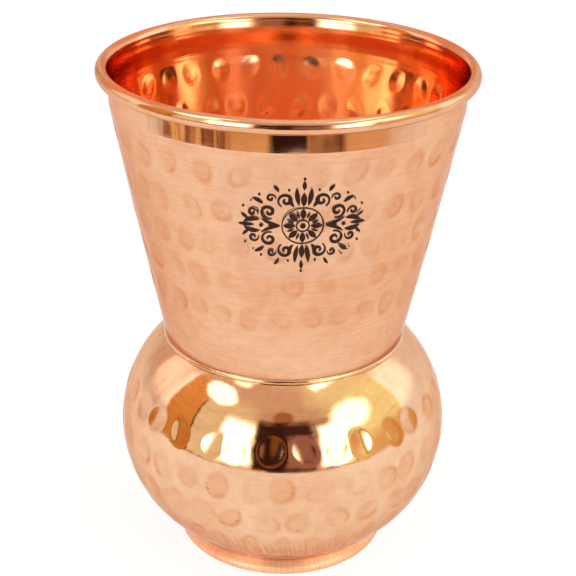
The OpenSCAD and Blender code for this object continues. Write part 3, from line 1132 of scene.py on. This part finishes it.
def room_colours(studio):
    """Colours of the white tent, of the room seen through its open front and of the warm
    screen behind, from across, the angle from the front towards +X, and up, the height
    angle, both in degrees. Noise shifts every edge a little, in a and e."""

    def colour_of(across, up):
        soft = noise(vector(across * 0.05, up * 0.08, 0.0), 2.0, detail=3)
        rough = noise(vector(across * 0.02, up * 0.55, 0.0), 2.0, detail=4, rough=0.7)
        a = across + (soft - 0.5) * 4 + (rough - 0.5) * 3
        e = up + (soft - 0.5) * 4
        far = across.absolute()
        # upright parts of the room, left to right
        room = mixed(a.step(-95, -60), (0.62, 0.38, 0.13), (1.0, 0.92, 0.66))
        panel = mixed(e.step(-5, 42), (0.74, 0.34, 0.08), (1.0, 0.48, 0.15))
        room = mixed(a.step(-68, -66.5), panel, room)
        room = mixed(a.step(-30, -14), room, (0.80, 0.58, 0.42))
        room = mixed(a.step(22, 60), room, (1.2, 1.22, 0.68))
        room = brighter(room, 0.78 + rough.step(0.35, 0.62) * 0.3)
        room = mixed(a.step(48, 62) * (1 - e.step(2, 16)), room, (0.90, 0.60, 0.26))
        # ceiling
        ceiling = mixed(a.step(10, 45), (0.82, 0.60, 0.46), (1.05, 0.98, 0.62))
        room = mixed(e.step(40, 52), room, ceiling)
        # thin dark lines and the dark figure in front
        room = painted(
            room,
            (a.between(-67.8, -66.2, 0.4) * (1 - e.step(32, 36)), (0.10, 0.04, 0.02)),
            (a.between(50.6, 52.2, 0.5) * (1 - e.step(14, 26)), (0.16, 0.07, 0.03)),
        )
        top = 35 + (rough - 0.5) * 22
        body = a.between(-19, 22, 1.0) * (1 - (e - top).step(-1.5, 1.5))
        sleeve = a.between(-17, 46, 3) * e.between(17, 35, 3) * rough.between(0.49, 0.56, 0.012)
        dark = mixed(a.step(0, 3), (0.04, 0.012, 0.007), (0.07, 0.025, 0.018))
        cloth = mixed(a.step(2, 5) * e.between(-4, 23, 2), dark, (0.40, 0.22, 0.18))
        lit = spot(a, e, (-9, 7), (26, 50), (0.2, 1.6))
        cloth = mixed(lit, cloth, (0.24, 0.11, 0.035))
        head = spot(a, e, (1, 39), (70, 40), (0.6, 1.4)) * (1 - body)
        room = painted(room, (body, cloth), (sleeve, (0.07, 0.025, 0.018)), (head, (0.44, 0.20, 0.08)))
        # below the table edge
        b = across + (soft - 0.5) * 14
        low = mixed(b.step(-37, -30), (0.66, 0.36, 0.17), (0.84, 0.54, 0.27))
        posts = noise(vector(b * 0.16 + up * 0.10, up * 0.12, 0.0), 1.0, detail=4, rough=0.65)
        left = b.between(-92, -34, 3)
        shade = b.between(13, 35, 3) * (0.45 + rough.step(0.44, 0.54) * 0.55)
        low = painted(
            low,
            (left * posts.step(0.44, 0.60), (0.34, 0.15, 0.07)),
            (left * posts.between(0.49, 0.52, 0.012), (0.10, 0.035, 0.015)),
            (left * (1 - posts.step(0.36, 0.44)), (1.0, 0.72, 0.36)),
            (b.between(-10, 13, 1.5), (0.03, 0.008, 0.005)),
            (shade, (0.16, 0.055, 0.035)),
            (b.step(33, 52), (0.92, 0.60, 0.36)),
        )
        room = mixed(e.step(-7.5, -6.5), low, room)
        # windows and lamps
        bright = a.between(-44, -21, 3) * e.between(-3, 30, 5)
        bright = bright + a.between(27, 46, 3) * e.between(-4, 28, 4)
        glow = spot(a, e, (56, 30), (340, 150), (0.3, 1.4))
        lamp = spot(a, e, (-62, 45), (330, 66), (0.7, 1.15))
        strips = (a.between(-78, -45, 5) + a.between(38, 92, 5)) * e.between(59, 66, 2.5)
        windows = bright * (1.3 + soft.step(0.42, 0.5) * 0.5) + glow + lamp + strips
        windows = windows.at_most(1.8)
        # tent: folds on the left, a warm screen behind, brighter flanks
        folds = noise(vector(across * 0.11, up * 0.015, 0.0), 1.0, detail=3, rough=0.6)
        tent = mixed(a.between(-155, -95, 5) * e.step(-10, 10) * (0.55 + folds.step(0.45, 0.6) * 0.45),
                     (1.0, 0.985, 0.97), (0.74, 0.52, 0.42))
        tent = painted(tent, (far.step(160, 174) * e.between(5, 25, 4), (1.0, 0.60, 0.42)),
                       (far.step(114, 138) * e.between(26, 48, 7), (1.05, 0.48, 0.28)))
        flank = far.between(64, 120, 5) * e.between(8, 40, 6)
        side = across + (soft - 0.5) * (4 + (1 - e.step(-12, -6)) * 22)
        shallow = 1 - e.step(-9, -5)
        ends = side.between(-84, 66, 12) * shallow + side.between(-92, 95, 1.5) * (1 - shallow)
        open_front = ends * (1 - e.step(66, 70))
        colour = mixed(open_front, tent, room)
        colour = mixed((windows * 1.4).at_most(1.0) * open_front, colour, (1.0, 1.0, 0.97))
        strength = studio.tent_light + flank * (1 - open_front) * 0.6
        return brighter(colour, strength + windows * open_front * studio.window_light)

    return colour_of


def build_room(studio):
    """A dome of radius R round the tumbler, seen only in reflections and as light: x is
    R cos(e) sin(a), y is -R cos(e) cos(a), z is R sin(e) + ROOM_UP, with (a, e) in degrees
    in its UV map."""
    columns, rows = 181, 76
    a = np.radians(np.linspace(-180, 180, columns))
    e = np.radians(np.linspace(-60, 90, rows))
    aa, ee = np.meshgrid(a, e)
    points = turned(ROOM_R * np.cos(ee), ROOM_R * np.sin(ee) + ROOM_UP, aa)
    piece = mesh_piece("studio_room", points, grid_faces(rows, columns, False, False), sharp=None)
    uv = piece.data.uv_layers.new(name="angles")
    loops = np.empty(len(piece.data.loops), dtype=np.int64)
    piece.data.loops.foreach_get("vertex_index", loops)
    angles = np.stack([np.degrees(aa), np.degrees(ee)], -1).reshape(-1, 2)[loops]
    uv.data.foreach_set("uv", angles.astype(np.float32).ravel())
    piece.data.materials.append(emission_material("room_light", room_colours(studio)))
    piece.visible_camera = False


def floor_material():
    """White paper: a faint mottle, and enough light of its own to stay pale."""
    material, coords = new_material("white_paper")
    mottle = noise(coords, 14, detail=3)
    return surfaced(material, coords, {
        "Base Color": mixed(mottle, (0.20, 0.20, 0.20), (0.23, 0.23, 0.23)), "Roughness": 0.85,
        "Specular IOR Level": 0.0,
        "Emission Color": (1.0, 1.0, 1.0, 1.0), "Emission Strength": 0.84})


def floor_sheet(name, inner, outer, rows=12, columns=241):
    """Flat floor between two edges, each a distance from the axis for every angle a from
    the front: rows of points run from the inner edge to the outer one."""
    a = np.radians(np.linspace(-180, 180, columns))
    t = np.linspace(0, 1, rows)[:, None]
    r = (1 - t) * inner(a) + t * outer(a)
    points = turned(r, 0 * r, a + 0 * r)
    return mesh_piece(name, points, grid_faces(rows, columns, False, False), sharp=None)


def table_edge(studio):
    """Distance of the white table's edge from the axis: short and slightly wavy in front,
    far away at the sides and behind."""

    def edge(a):
        away = np.clip((np.abs(a) - math.radians(94)) / math.radians(3), 0, 1)
        wavy = 1 + 0.012 * np.sin(5 * a + 1) + 0.009 * np.sin(13 * a)
        return studio.sheet_edge * wavy * (1 - away) + TABLE_FAR * away

    return edge


class TUMBLER_OT_studio(bpy.types.Operator):
    """Makes the camera, the pale floor and the soft light"""

    bl_idname = "tumbler.studio"
    bl_label = "Studio"

    def execute(self, context):
        _, _, studio = settings()
        scene = context.scene
        paper = floor_material()
        edge = table_edge(studio)
        near = floor_sheet("studio_floor", lambda a: FLOOR_NEAR + 0 * a, edge)
        far = floor_sheet("studio_floor_front", edge, lambda a: FLOOR_FAR + 0 * a)
        far.visible_glossy = False
        far.visible_diffuse = False
        for piece in (near, far):
            piece.data.materials.append(paper)
        build_room(studio)
        world = bpy.data.worlds.new("studio_world")
        world.use_nodes = True
        sky = world.node_tree.nodes["Background"]
        sky.inputs["Color"].default_value = (1.0, 1.0, 1.0, 1.0)
        sky.inputs["Strength"].default_value = 1.0
        scene.world = world
        lens = bpy.data.cameras.new("camera")
        lens.lens = studio.lens
        lens.sensor_width = 36.0
        lens.shift_x = LENS_SHIFT
        lens.clip_start = 0.01
        camera = bpy.data.objects.new("camera", lens)
        camera.location = (0, -studio.camera_back, studio.camera_up)
        aim = Euler((math.pi / 2 - studio.camera_pitch, 0, 0)).to_matrix()
        roll = Euler((0, 0, studio.camera_roll)).to_matrix()
        camera.rotation_euler = (aim @ roll).to_euler()
        scene.collection.objects.link(camera)
        scene.camera = camera
        scene.view_settings.view_transform = "Standard"
        scene.cycles.max_bounces = 16
        scene.cycles.glossy_bounces = 12
        scene.cycles.transparent_max_bounces = 12
        return {"FINISHED"}


class TUMBLER_PT_panel(bpy.types.Panel):
    """Lists the tumbler's pieces"""

    bl_label = "Copper tumbler"
    bl_idname = "TUMBLER_PT_panel"
    bl_space_type = "VIEW_3D"
    bl_region_type = "UI"
    bl_category = "Tumbler"

    def draw(self, context):
        for operator in OPERATORS:
            self.layout.operator(operator.bl_idname)


OPERATORS = (TUMBLER_OT_cup, TUMBLER_OT_bulb, TUMBLER_OT_foot, TUMBLER_OT_seams,
             TUMBLER_OT_label, TUMBLER_OT_studio)
CLASSES = (TumblerSheet, TumblerColours, TumblerStudio, *OPERATORS, TUMBLER_PT_panel)


def register():
    for cls in CLASSES:
        bpy.utils.register_class(cls)
    bpy.types.Scene.tumbler_sheet = bpy.props.PointerProperty(type=TumblerSheet)
    bpy.types.Scene.tumbler_colours = bpy.props.PointerProperty(type=TumblerColours)
    bpy.types.Scene.tumbler_studio = bpy.props.PointerProperty(type=TumblerStudio)


def unregister():
    del bpy.types.Scene.tumbler_studio
    del bpy.types.Scene.tumbler_colours
    del bpy.types.Scene.tumbler_sheet
    for cls in reversed(CLASSES):
        bpy.utils.unregister_class(cls)


def main():
    register()
    bpy.ops.tumbler.studio()
    bpy.ops.tumbler.cup()
    bpy.ops.tumbler.bulb()
    bpy.ops.tumbler.foot()
    bpy.ops.tumbler.seams()
    bpy.ops.tumbler.label()


if __name__ == "__main__":
    main()
